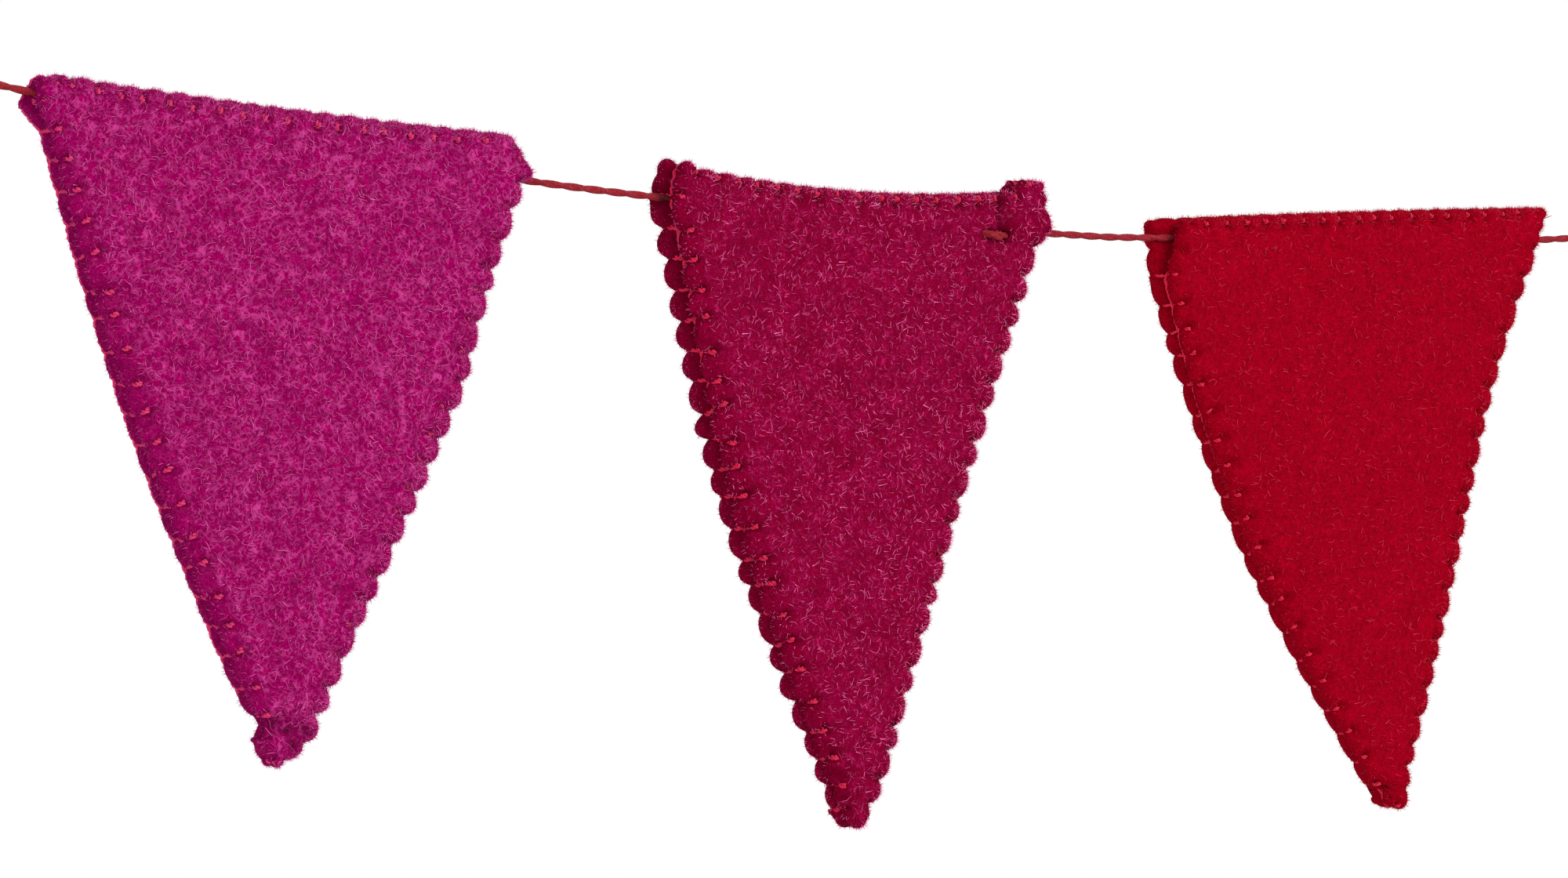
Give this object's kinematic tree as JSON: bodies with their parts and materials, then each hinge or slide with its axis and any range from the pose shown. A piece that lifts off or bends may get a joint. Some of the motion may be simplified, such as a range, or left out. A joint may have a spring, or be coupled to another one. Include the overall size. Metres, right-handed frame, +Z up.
{
  "type": "fabric bunting",
  "caption": "Felt pennant bunting: triangular pennants of thick doubled felt with blanket-stitched, scalloped edges, threaded along a thin taut string with a tied loop at each end.",
  "frame": {"origin": "where the far end of the left loop bears on what holds it", "axes": "+X along the string, from the left loop to the right one as seen from the front; -Y out of the pennants' fronts; +Z up"},
  "size_m": [0.3665, 0.0182, 0.1292],
  "materials": {
    "pennant_left_felt": "matte wool felt",
    "pennant_middle_felt": "matte wool felt",
    "pennant_right_felt": "matte wool felt",
    "string_red": "matte twisted yarn"
  },
  "bodies": {
    "root": {"pennant_left_front": "pennant_left_felt", "pennant_left_back": "pennant_left_felt", "pennant_middle_front": "pennant_middle_felt", "pennant_middle_back": "pennant_middle_felt", "pennant_right_front": "pennant_right_felt", "pennant_right_back": "pennant_right_felt", "string": "string_red", "loop_left": "string_red", "loop_right": "string_red"}
  },
  "joints": []
}
